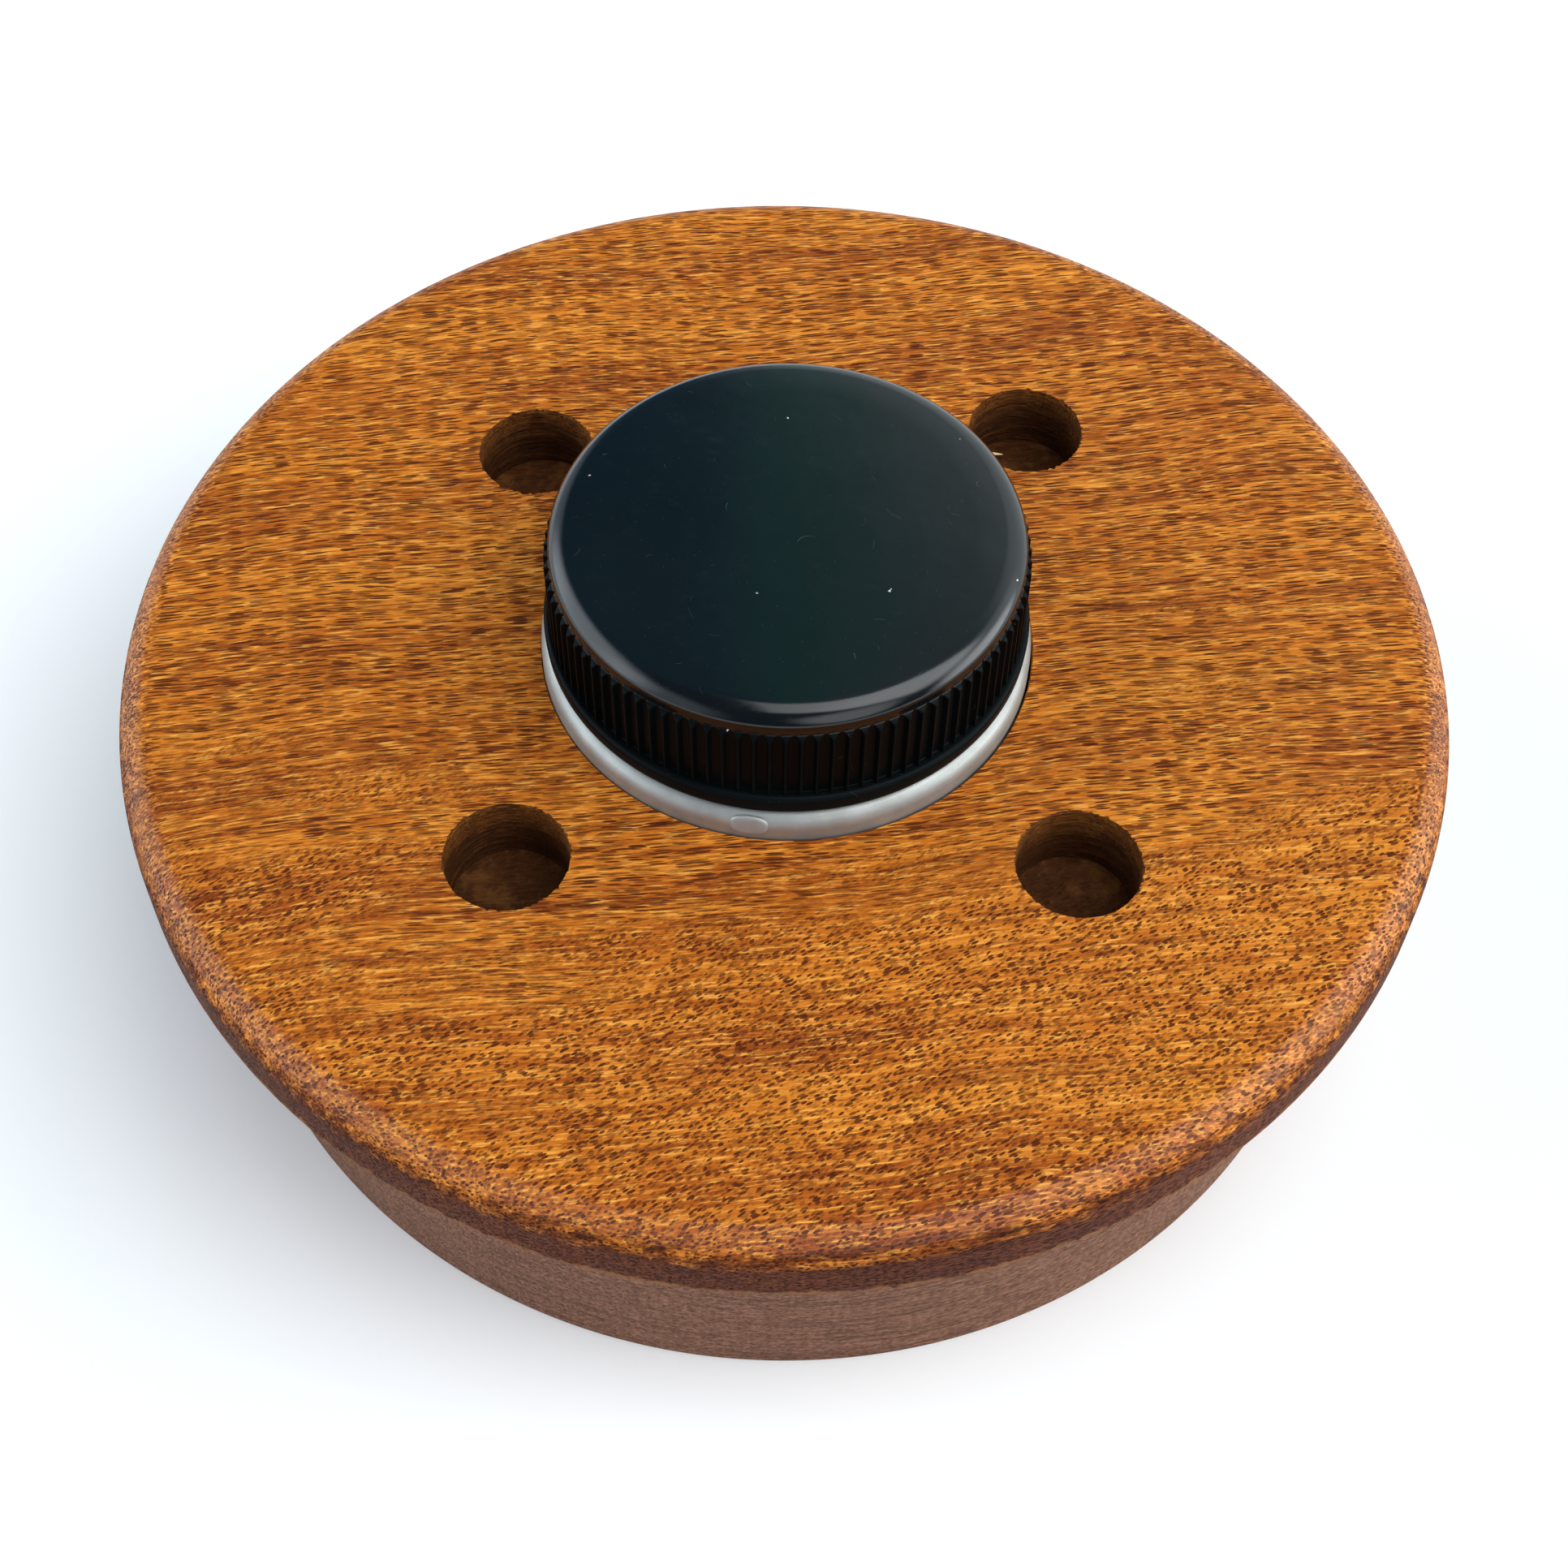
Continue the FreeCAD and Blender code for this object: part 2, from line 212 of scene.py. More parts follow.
def place_piece(piece, node, body, material):
    """Stand in for a CAD node with a finished piece."""
    piece.data.materials.clear()
    for item in material if isinstance(material, list) else [material]:
        piece.data.materials.append(item)
    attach(piece, body)
    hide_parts(node)
    return piece


# ---------------------------------------------------------------- node helpers
def add(tree, kind, inputs=None, **settings):
    """A shader node; an input is a value or another node's output."""
    made = tree.nodes.new("ShaderNode" + kind)
    for key, value in settings.items():
        setattr(made, key, value)
    for key, value in (inputs or {}).items():
        if isinstance(value, bpy.types.NodeSocket):
            tree.links.new(value, made.inputs[key])
        else:
            made.inputs[key].default_value = value
    return made


def maths(tree, operation, one, two=0.0, three=0.0, clamp=False):
    inputs = {0: one, 1: two, 2: three}
    return add(tree, "Math", inputs, operation=operation, use_clamp=clamp).outputs[0]


def span(tree, value, low, high, to_low=0.0, to_high=1.0):
    """Map a value from low..high to another range, smoothly and clamped."""
    inputs = {"Value": value, "From Min": low, "From Max": high, "To Min": to_low, "To Max": to_high}
    return add(tree, "MapRange", inputs, interpolation_type="SMOOTHSTEP").outputs["Result"]


def mix(tree, factor, one, two, how="MIX"):
    made = add(tree, "Mix", {0: factor, 6: one, 7: two}, data_type="RGBA", blend_type=how)
    return made.outputs[2]


def mapped(tree, vector, scale, turn=(0, 0, 0), move=(0, 0, 0)):
    inputs = {"Vector": vector, "Scale": scale, "Rotation": turn, "Location": move}
    return add(tree, "Mapping", inputs).outputs["Vector"]


def speckle(tree, vector, scale, detail=3.0, rough=0.55):
    inputs = {"Vector": vector, "Scale": scale, "Detail": detail, "Roughness": rough}
    return add(tree, "TexNoise", inputs).outputs["Fac"]


def ramp(tree, value, stops):
    made = add(tree, "ValToRGB", {"Fac": value})
    band = made.color_ramp
    while len(band.elements) < len(stops):
        band.elements.new(0.5)
    for element, (place, colour) in zip(band.elements, stops):
        element.position = place
        element.color = (*colour, 1.0)
    return made.outputs["Color"]


def new_material(name):
    """A material, its tree, its shader and the object-space position in millimetres."""
    material = bpy.data.materials.new(name)
    material.use_nodes = True
    tree = material.node_tree
    tree.nodes.clear()
    shader = add(tree, "BsdfPrincipled")
    output = add(tree, "OutputMaterial")
    tree.links.new(shader.outputs[0], output.inputs["Surface"])
    place = add(tree, "TexCoord").outputs["Object"]
    return material, tree, shader, mapped(tree, place, (1000, 1000, 1000))


def bump(tree, shader, height, depth_mm, before=None):
    """Raise a 0..1 height map by a depth in millimetres."""
    inputs = {"Height": height, "Distance": depth_mm * MM, "Strength": 1.0}
    if before:
        inputs["Normal"] = before
    made = add(tree, "Bump", inputs).outputs["Normal"]
    tree.links.new(made, shader.inputs["Normal"])
    return made


def component(tree, vector, letter):
    """One number of a vector or colour, as a socket."""
    return add(tree, "SeparateXYZ", {"Vector": vector}).outputs[letter]


def radial(tree, place):
    """Radius from the axis, angle round it and height, each as a socket."""
    parts = add(tree, "SeparateXYZ", {"Vector": place})
    across = maths(tree, "MULTIPLY", parts.outputs["X"], parts.outputs["X"])
    squares = maths(tree, "MULTIPLY_ADD", parts.outputs["Y"], parts.outputs["Y"], across)
    radius = maths(tree, "SQRT", squares)
    angle = maths(tree, "ARCTAN2", parts.outputs["Y"], parts.outputs["X"])
    return radius, angle, parts.outputs["Z"]


# ---------------------------------------------------------------- wood
GRAIN_TURN = math.radians(-8.0)

# layers of vessel dashes: length and width in millimetres, slant in degrees, and a seed
STRAIGHT_PORES = [(3.00, 0.23, 0.0, 3.1), (1.90, 0.20, 1.5, 6.4)]
CURLY_PORES = [(0.95, 0.30, -18.0, 8.3), (0.66, 0.26, -24.0, 1.7)]

# linear colours, set against the photograph
BAND_TONES = [
    (0.34, (0.340, 0.068, 0.006)),
    (0.46, (0.460, 0.110, 0.008)),
    (0.56, (0.550, 0.144, 0.010)),
    (0.70, (0.640, 0.194, 0.016)),
]
PALE_STREAK, DARK_STREAK = (0.76, 0.262, 0.026, 1), (0.20, 0.042, 0.005, 1)
PALE_FIBRE, DARK_FIBRE = (0.90, 0.400, 0.066, 1), (0.15, 0.032, 0.004, 1)
OILED_PORE = (0.075, 0.011, 0.002, 1)
# the flange's painted shade: a tint multiplied into the grain and a deep brown mixed over it
EDGE_SHADE_TINT, EDGE_SHADE_DEEP = (0.220, 0.135, 0.080, 1), (0.075, 0.020, 0.005, 1)
# paler along the flange's sharp lower edge
PALE_ARRIS = (0.36, 0.16, 0.060, 1)
RAW_TONES = [(0.30, (0.100, 0.043, 0.026)), (0.70, (0.340, 0.170, 0.105))]
RAW_PORE, RAW_LAYER = (0.060, 0.026, 0.016, 1), (0.075, 0.030, 0.017, 1)
# a peg hole's wall: a dark tone of painted shade, and paler ring lines
HOLE_SHADE, HOLE_PALE = (0.065, 0.024, 0.007, 1), (0.20, 0.075, 0.020, 1)

# how strongly the wood mirrors: dull all over, and rubbed on its rounded top edge
DULL_SHEEN, RUBBED_SHEEN = 0.09, 0.42


def pore_layer(tree, grain, length, width, slant, seed):
    """Dark vessel dashes: stretched cells, cut where the surface passes close to their middles."""
    turned = mapped(tree, grain, (1, 1, 1), turn=(0, 0, math.radians(slant)))
    cells = mapped(tree, turned, (1 / length, 1 / width, 1 / width), move=(seed, seed * 2.1, seed * 0.7))
    inputs = {"Vector": cells, "Scale": 1.0, "Randomness": 0.85}
    made = add(tree, "TexVoronoi", inputs, voronoi_dimensions="3D")
    dash = span(tree, made.outputs["Distance"], 0.33, 0.44, 1.0, 0.0)
    chance = component(tree, made.outputs["Color"], "X")
    return maths(tree, "MULTIPLY", dash, span(tree, chance, 0.0, 1.0, 0.40, 1.0))


def pore_pair(tree, grain, layers):
    """The darker of two layers of dashes."""
    one, two = (pore_layer(tree, grain, *layer) for layer in layers)
    return maths(tree, "MAXIMUM", one, two)


def drift(tree, place, scale, reach):
    """A position moved about by soft noise, by up to half a reach in millimetres."""
    waves = add(tree, "TexNoise", {"Vector": place, "Scale": scale, "Detail": 2.0}).outputs["Color"]
    middle = add(tree, "VectorMath", {0: waves, 1: (-0.5, -0.5, -0.5)}, operation="ADD").outputs[0]
    shift = add(tree, "VectorMath", {0: middle, 3: reach}, operation="SCALE").outputs[0]
    return add(tree, "VectorMath", {0: place, 1: shift}, operation="ADD").outputs[0]


def wood_pattern(tree, place):
    """Grain position, pores, fibre, streaks and bands of an interlocked-grain hardwood."""
    bent = drift(tree, drift(tree, place, 0.022, 5.0), 0.45, 0.12)
    grain = mapped(tree, bent, (1, 1, 1), turn=(0, 0, GRAIN_TURN))

    curl = speckle(tree, mapped(tree, grain, (0.02, 0.09, 0.08)), 1.0, 2.0)
    lean = maths(tree, "MULTIPLY_ADD", component(tree, place, "Y"), -0.008, curl)
    figured = span(tree, lean, 0.56, 0.74)

    straight = pore_pair(tree, grain, STRAIGHT_PORES)
    curly = pore_pair(tree, grain, CURLY_PORES)
    pores = add(tree, "Mix", {0: figured, 2: straight, 3: curly}, data_type="FLOAT").outputs[0]

    fibre = speckle(tree, mapped(tree, grain, (0.30, 4.6, 4.6)), 1.0, 4.0, 0.65)
    streak = speckle(tree, mapped(tree, grain, (0.05, 1.15, 0.9)), 1.0, 3.0, 0.6)
    ribbon = speckle(tree, mapped(tree, grain, (0.012, 0.12, 0.10)), 1.0, 3.0, 0.6)
    return grain, pores, fibre, streak, ribbon


def oiled_tone(tree, pores, fibre, streak, ribbon):
    """The oiled wood's colour: bands, streaks and fibres under dark pores."""
    tone = ramp(tree, ribbon, BAND_TONES)
    tone = mix(tree, span(tree, streak, 0.46, 0.72, 0.0, 0.70), tone, PALE_STREAK)
    tone = mix(tree, span(tree, streak, 0.50, 0.30, 0.0, 0.75), tone, DARK_STREAK)
    tone = mix(tree, span(tree, fibre, 0.50, 0.66, 0.0, 0.80), tone, PALE_FIBRE)
    tone = mix(tree, span(tree, fibre, 0.48, 0.30, 0.0, 0.70), tone, DARK_FIBRE)
    return mix(tree, maths(tree, "MULTIPLY", pores, 0.96), tone, OILED_PORE)


def bare_tone(tree, grain, pores, fibre):
    """The unoiled foot's colour, with dark layers across its height."""
    raw = ramp(tree, fibre, RAW_TONES)
    bare = mix(tree, maths(tree, "MULTIPLY", pores, 0.45), raw, RAW_PORE)
    layers = speckle(tree, mapped(tree, grain, (0.03, 0.25, 2.20)), 1.0, 5.0, 0.7)
    return mix(tree, span(tree, layers, 0.50, 0.36, 0.0, 0.50), bare, RAW_LAYER)


def wood_material(name, drilled=False):
    """The turned wood; drilled is the ringed wall of a peg hole, darkened with painted shade."""
    material, tree, shader, place = new_material(name)
    grain, pores, fibre, streak, ribbon = wood_pattern(tree, place)
    height = component(tree, place, "Z")
    tone = oiled_tone(tree, pores, fibre, streak, ribbon)

    # below its rounded top the flange is darkened with painted shade, its sharp lower edge is paler,
    # and the foot is unoiled
    top = WOOD_TOP / MM
    flange = FLANGE_DEPTH / MM
    fuzz = speckle(tree, place, 0.9, 3.0)
    ragged = maths(tree, "MULTIPLY_ADD", fuzz, 2.0, height)
    uneven = maths(tree, "MULTIPLY_ADD", streak, 5.0, maths(tree, "ADD", ragged, -2.5))
    edge = span(tree, uneven, top + 0.1, top - 2.4)
    # painted shade: below the top the rounded edge and flange wall are darkened, in place of the shade
    # on their down-turned faces
    shaded_edge = mix(tree, 1.0, tone, EDGE_SHADE_TINT, "MULTIPLY")
    tone = mix(tree, edge, tone, mix(tree, 0.25, shaded_edge, EDGE_SHADE_DEEP))
    # a paler strip along the flange's sharp lower edge
    arris = span(tree, ragged, top - flange + 1.75, top - flange + 1.15, 0.0, 0.55)
    tone = mix(tree, arris, tone, PALE_ARRIS)
    below = span(tree, height, top - flange + 0.15, top - flange - 0.15)
    tone = mix(tree, below, tone, bare_tone(tree, grain, pores, fibre))

    dull = maths(tree, "MULTIPLY_ADD", fibre, 0.22, 0.36)
    dull = maths(tree, "MULTIPLY_ADD", pores, 0.30, dull)
    dull = maths(tree, "MULTIPLY_ADD", edge, 0.08, dull)
    dull = maths(tree, "MULTIPLY_ADD", below, 0.12, dull, clamp=True)
    tree.links.new(dull, shader.inputs["Roughness"])

    sunk = maths(tree, "SUBTRACT", 1.0, pores)
    normal = bump(tree, shader, sunk, 0.060)
    normal = bump(tree, shader, fibre, 0.060, normal)
    if drilled:
        # painted shade darkens the peg hole's wall
        tone = mix(tree, 0.72, tone, HOLE_SHADE)
        rings = speckle(tree, mapped(tree, place, (0.25, 0.25, 2.6)), 1.0, 4.0, 0.7)
        bump(tree, shader, rings, 0.55, normal)
        tone = mix(tree, span(tree, rings, 0.48, 0.66, 0.0, 0.60), tone, HOLE_PALE)
        shader.inputs["Specular IOR Level"].default_value = DULL_SHEEN
    else:
        rubbed = span(tree, height, top - 0.02, top - 0.50)
        rubbed = maths(tree, "MULTIPLY", rubbed, span(tree, height, top - 2.2, top - 0.9))
        sheen = span(tree, rubbed, 0.0, 1.0, DULL_SHEEN, RUBBED_SHEEN)
        tree.links.new(sheen, shader.inputs["Specular IOR Level"])
    tree.links.new(tone, shader.inputs["Base Color"])
    return material


def sliver_material():
    """Bare pale wood, as torn out of the rim."""
    material, tree, shader, place = new_material("torn_wood")
    strands = speckle(tree, mapped(tree, place, (0.5, 6.0, 6.0)), 1.0, 3.0)
    tone = ramp(tree, strands, [(0.3, (0.50, 0.26, 0.10)), (0.7, (0.85, 0.62, 0.36))])
    tree.links.new(tone, shader.inputs["Base Color"])
    tree.links.new(span(tree, strands, 0.3, 0.7, 0.55, 0.85), shader.inputs["Roughness"])
    bump(tree, shader, strands, 0.05)
    return material


# ---------------------------------------------------------------- metal, plastic and foam
def aluminium_material():
    """Satin metal with fine lines drawn round it and dull spots."""
    material, tree, shader, place = new_material("satin_aluminium")
    radius, angle, height = radial(tree, place)
    around = maths(tree, "MULTIPLY", angle, 0.9)
    drawn = add(tree, "CombineXYZ", {"X": around, "Y": maths(tree, "MULTIPLY", height, 9.0),
                                     "Z": maths(tree, "MULTIPLY", radius, 9.0)}).outputs[0]
    lines = speckle(tree, drawn, 1.0, 4.0, 0.65)
    cloud = speckle(tree, place, 0.35, 3.0)
    spots = speckle(tree, place, 2.6, 2.0)
    tone = ramp(tree, cloud, [(0.30, (0.33, 0.34, 0.32)), (0.70, (0.42, 0.435, 0.415))])
    tone = mix(tree, span(tree, spots, 0.60, 0.75, 0.0, 0.30), tone, (0.24, 0.25, 0.235, 1))
    tree.links.new(tone, shader.inputs["Base Color"])
    shader.inputs["Metallic"].default_value = 0.62
    tree.links.new(maths(tree, "MULTIPLY_ADD", lines, 0.24, 0.36), shader.inputs["Roughness"])
    normal = bump(tree, shader, lines, 0.012)
    bump(tree, shader, cloud, 0.05, normal)
    return material


def plastic_material():
    """Gloss black with a little dust, a few hair scratches and a duller ribbed skirt."""
    material, tree, shader, place = new_material("black_gloss_plastic")
    height = component(tree, place, "Z")
    cloud = speckle(tree, place, 0.12, 2.0)
    tone = ramp(tree, cloud, [(0.35, (0.0020, 0.0032, 0.0036)), (0.65, (0.0030, 0.0048, 0.0052))])
    drifted = drift(tree, place, 0.8, 1.2)
    dust_cells = add(tree, "TexVoronoi", {"Vector": drifted, "Scale": 0.50}, voronoi_dimensions="3D")
    chance = component(tree, dust_cells.outputs["Color"], "X")
    fleck = span(tree, dust_cells.outputs["Distance"], 0.035, 0.060, 1.0, 0.0)
    fleck = maths(tree, "MULTIPLY", fleck, span(tree, chance, 0.80, 0.86))
    fine = add(tree, "TexVoronoi", {"Vector": place, "Scale": 2.6}, voronoi_dimensions="3D")
    fine_chance = component(tree, fine.outputs["Color"], "Y")
    grit = span(tree, fine.outputs["Distance"], 0.06, 0.14, 1.0, 0.0)
    grit = maths(tree, "MULTIPLY", grit, span(tree, fine_chance, 0.70, 0.98, 0.0, 0.28))
    swirl = speckle(tree, place, 0.23, 1.0)
    hair = maths(tree, "ABSOLUTE", maths(tree, "SUBTRACT", swirl, 0.5))
    hair = span(tree, hair, 0.0006, 0.0026, 1.0, 0.0)
    hair = maths(tree, "MULTIPLY", hair, span(tree, speckle(tree, place, 0.55, 1.0), 0.64, 0.70))
    tone = mix(tree, grit, tone, (0.10, 0.115, 0.12, 1))
    tone = mix(tree, maths(tree, "MULTIPLY", hair, 0.22), tone, (0.16, 0.18, 0.19, 1))
    tone = mix(tree, fleck, tone, (0.60, 0.62, 0.60, 1))
    tree.links.new(tone, shader.inputs["Base Color"])
    scuffs = speckle(tree, mapped(tree, place, (0.5, 1.0, 0.7), turn=(0, 0, 0.9)), 1.0, 5.0, 0.7)
    gloss = span(tree, scuffs, 0.50, 0.80, 0.13, 0.24)
    skirt = span(tree, height, RIB_TOP / MM + 0.1, RIB_TOP / MM - 0.1)
    gloss = maths(tree, "MULTIPLY_ADD", skirt, 0.22, gloss)
    gloss = maths(tree, "MULTIPLY_ADD", fleck, 0.5, gloss, clamp=True)
    tree.links.new(gloss, shader.inputs["Roughness"])
    tree.links.new(span(tree, skirt, 0.0, 1.0, 0.50, 0.04), shader.inputs["Specular IOR Level"])
    shader.inputs["IOR"].default_value = 1.5
    ripple = speckle(tree, place, 0.22, 2.0)
    normal = bump(tree, shader, ripple, 0.022)
    bump(tree, shader, fleck, 0.08, normal)
    return material


def foam_material():
    """Off-white closed-cell foam."""
    material, tree, shader, place = new_material("liner_foam")
    cells = add(tree, "TexVoronoi", {"Vector": place, "Scale": 3.0}, voronoi_dimensions="3D")
    tone = ramp(tree, cells.outputs["Distance"], [(0.0, (0.62, 0.62, 0.58)), (0.7, (0.86, 0.86, 0.82))])
    tree.links.new(tone, shader.inputs["Base Color"])
    rough = span(tree, speckle(tree, place, 0.8), 0.3, 0.7, 0.55, 0.80)
    tree.links.new(rough, shader.inputs["Roughness"])
    bump(tree, shader, cells.outputs["Distance"], 0.06)
    return material


# ---------------------------------------------------------------- wooden base
# rows of the base's profile that stand for the pocket's wall
POCKET_ROWS = (1, 2, 3)

# heights above a peg hole's floor in millimetres, closer together towards its torn rim
HOLE_LEVELS = [0.0, 5.9, 6.1, 6.25, 6.38, 6.5, 6.7, 7.2]
TEAR_DEPTH = 0.45 * MM

# the torn sliver in millimetres: length, root in the wood, arch, sideways bend, and half sizes
SLIVER_LENGTH, SLIVER_ROOT, SLIVER_ARCH, SLIVER_BEND = 2.7, 0.35, 0.10, 0.06
SLIVER_WIDE, SLIVER_THICK = (0.34, 0.012), (0.13, 0.008)
SLIVER_STEPS, SLIVER_SIDES = 12, 8


def base_profile():
    """From the pocket's floor up its wall, over the flange and down to the middle of the foot."""
    cove = 0.35 * MM
    under = WOOD_TOP - FLANGE_DEPTH
    foot_break = 0.2 * MM
    rim_drop, rim_flare = 0.15 * MM, 0.1 * MM
    points = [(0, POCKET_FLOOR), (POCKET_RADIUS, POCKET_FLOOR)]
    points += [(POCKET_RADIUS, WOOD_TOP - rim_drop), (POCKET_RADIUS + rim_flare, WOOD_TOP)]
    points += arc((DISC_RADIUS - ROUNDOVER, WOOD_TOP - ROUNDOVER), ROUNDOVER, 90, 0, 24)
    points += [(DISC_RADIUS, under + ARRIS), (DISC_RADIUS - ARRIS, under)]
    points += arc((FOOT_RADIUS + cove, under - cove), cove, 90, 180, 6)
    points += arc((FOOT_RADIUS - foot_break, foot_break), foot_break, 0, -90, 8)
    points += [(0, 0)]
    return points


def hole_cutter(axis, seed):
    """A drill-sized plug whose sides flare raggedly into the rim, more where the grain tears."""
    radius = PEG_HOLE_RADIUS
    floor = WOOD_TOP - PEG_HOLE_DEPTH
    profile = [(0, floor)]
    profile += [(radius, floor + level * MM) for level in HOLE_LEVELS]
    profile += [(0, floor + HOLE_LEVELS[-1] * MM)]

    def tear(out, height, turn, row):
        spot = Vector((math.cos(turn), math.sin(turn), 0.0)) * 9 + Vector((seed, seed, seed))
        wobble = 0.03 * MM * noise.noise(spot * 0.25)
        depth = max(0.0, (height - (WOOD_TOP - TEAR_DEPTH)) / TEAR_DEPTH)
        fibres = max(0.0, noise.noise(spot * 1.3) + 0.5 * noise.noise(spot * 3.1))
        return out + wobble + min(depth, 1.0) ** 2 * (0.06 + 0.34 * fibres) * MM

    mesh = bmesh.new()
    spin(mesh, profile, even_turns(180), tear)
    cutter = finish_mesh("cutter", mesh)
    cutter.location = (axis.x, axis.y, 0)
    bpy.context.view_layer.update()
    return cutter


def splinter(axis):
    """A sliver of wood left standing at a hole's rim, lying out over the hole."""
    radius = PEG_HOLE_RADIUS
    root = Vector((axis.x - radius * 0.88, axis.y - radius * 0.50, WOOD_TOP - 0.35 * MM))
    ahead = Vector((1.0, -0.14, 0.03)).normalized()
    across = Vector((0.14, 1.0, 0.0)).normalized()
    up = ahead.cross(across)
    mesh = bmesh.new()
    loops = []
    for step in range(SLIVER_STEPS + 1):
        share = step / SLIVER_STEPS
        middle = root + ahead * (share * SLIVER_LENGTH - SLIVER_ROOT) * MM
        middle = middle + up * (SLIVER_ARCH * math.sin(share * 3) * MM)
        wide = SLIVER_WIDE[0] * MM * (1 - share) ** 0.7 + SLIVER_WIDE[1] * MM
        thick = SLIVER_THICK[0] * MM * (1 - share) ** 0.5 + SLIVER_THICK[1] * MM
        bend = across * (SLIVER_BEND * math.sin(share * 7) * MM)
        loops.append([
            mesh.verts.new(middle + bend + across * wide * math.cos(a) + up * thick * math.sin(a))
            for a in even_turns(SLIVER_SIDES)
        ])
    skin(mesh, loops)
    return finish_mesh("rim_splinter", mesh, 60)


def make_base(wood, drilled):
    """The turned base with its peg holes cut, their walls in the drilled material."""
    def loose_pocket(out, height, turn, row):
        """The jar leans to the front left of its pocket, so the play shows at the back right."""
        if row in POCKET_ROWS:
            return out - 0.17 * MM + 0.09 * MM * math.cos(turn - math.radians(30))
        return out

    mesh = bmesh.new()
    spin(mesh, base_profile(), even_turns(360), loose_pocket)
    base = finish_mesh("turned_base", mesh)
    for seed, axis in enumerate(PEG_HOLES.values()):
        cut_away(base, hole_cutter(axis, 11.0 * seed + 2.0))
    place_piece(base, "wooden_base", "base", [wood, drilled])
    lowest, highest = WOOD_TOP - 8 * MM, WOOD_TOP - 0.01 * MM
    reach = PEG_HOLE_RADIUS + 0.6 * MM
    for face in base.data.polygons:
        middle = face.center
        for axis in PEG_HOLES.values():
            beside = math.hypot(middle.x - axis.x, middle.y - axis.y) < reach
            if beside and lowest < middle.z < highest:
                face.material_index = 1
    smooth(base.data)
    return base


# ---------------------------------------------------------------- jar
NUB_TURN = math.radians(262.5)
NUB_LEAN = math.radians(18)

# in millimetres
NUB_HALF_WIDTH, NUB_HALF_HEIGHT, NUB_RISE, NUB_SUNK, NUB_BACK = 1.55, 0.90, 0.30, 0.12, 0.2
NUB_ROWS, NUB_SIDES = 9, 40


def jar_profile():
    """From under the jar up its wall and neck, over the lip and down the inside."""
    foot, wall = 1.0 * MM, JAR_WALL
    inner = JAR_RADIUS - wall
    roll = wall / 2
    neck_inner = NECK_RADIUS - wall
    fillet, heel = 0.4 * MM, 0.6 * MM
    points = [(0, POCKET_FLOOR)]
    points += arc((JAR_RADIUS - foot, POCKET_FLOOR + foot), foot, -90, 0, 8)
    points += [(JAR_RADIUS, WOOD_TOP - 1.0 * MM)]
    middle = (JAR_RADIUS - SHOULDER_ROUND, SHOULDER - SHOULDER_ROUND)
    points += arc(middle, SHOULDER_ROUND, 0, 90, 16)
    points += arc((NECK_RADIUS + fillet, SHOULDER + fillet), fillet, -90, -180, 6)
    points += arc((NECK_RADIUS - roll, NECK_TOP - roll), roll, 0, 180, 12)
    points += [(neck_inner, SHOULDER - wall + 0.3 * MM), (neck_inner + 0.3 * MM, SHOULDER - wall)]
    points += arc(middle, SHOULDER_ROUND - wall, 90, 0, 8)
    points += arc((inner - heel, POCKET_FLOOR + wall + heel), heel, 0, -90, 6)
    points += [(0, POCKET_FLOOR + wall)]
    return points


def nub(mesh):
    """The small raised oval on the jar's shoulder: a flattened pebble half sunk in the metal."""
    outward = Vector((math.cos(NUB_TURN), math.sin(NUB_TURN), 0))
    along = Vector((-math.sin(NUB_TURN), math.cos(NUB_TURN), 0))
    up = Vector((0, 0, 1))
    middle = outward * (JAR_RADIUS - SHOULDER_ROUND) + up * (SHOULDER - SHOULDER_ROUND)
    raised = outward * math.cos(NUB_LEAN) + up * math.sin(NUB_LEAN)
    up = up * math.cos(NUB_LEAN) - outward * math.sin(NUB_LEAN)
    outward = raised
    middle = middle + outward * (SHOULDER_ROUND - NUB_SUNK * MM)
    loops = []
    for row in range(NUB_ROWS + 1):
        tilt = math.pi / 2 * row / NUB_ROWS
        ring, rise = math.cos(tilt) ** 0.45, math.sin(tilt) ** 0.8
        loop = []
        for a in even_turns(NUB_SIDES):
            wide, high = math.cos(a), math.sin(a)
            wide = math.copysign(abs(wide) ** 0.75, wide) * NUB_HALF_WIDTH * MM * ring
            high = math.copysign(abs(high) ** 0.85, high) * NUB_HALF_HEIGHT * MM * ring
            spot = middle + along * wide + up * high + outward * rise * NUB_RISE * MM
            loop.append(mesh.verts.new(spot))
            if row == NUB_ROWS:
                break
        loops.append(loop)
    back = mesh.verts.new(middle - outward * NUB_BACK * MM)
    for here in range(NUB_SIDES):
        after = (here + 1) % NUB_SIDES
        mesh.faces.new((back, loops[0][after], loops[0][here]))
        for one, two in zip(loops[:-1], loops[1:-1]):
            mesh.faces.new((one[here], one[after], two[after], two[here]))
        mesh.faces.new((loops[-2][here], loops[-2][after], loops[-1][0]))


def make_jar(metal):
    """The jar with its neck thread and nub, as one piece."""
    mesh = bmesh.new()
    spin(mesh, jar_profile(), even_turns(288))
    thread_ridge(mesh, NECK_RADIUS, inward=False)
    nub(mesh)
    return place_piece(finish_mesh("drawn_jar", mesh), "jar", "jar_body", metal)


# ---------------------------------------------------------------- cap and liner
# where a rib's points lie, as shares of the way from its crest to the next
RIB_SHARES = [0.0, 0.03, 0.06, 0.09, 0.13, 0.18, 0.25, 0.33, 0.41, 0.5]

# how far below the ribs' tops the skirt's rows lie, in millimetres
RIB_ROWS = (0.80, 0.64, 0.52, 0.42, 0.33, 0.25, 0.18, 0.12, 0.06)

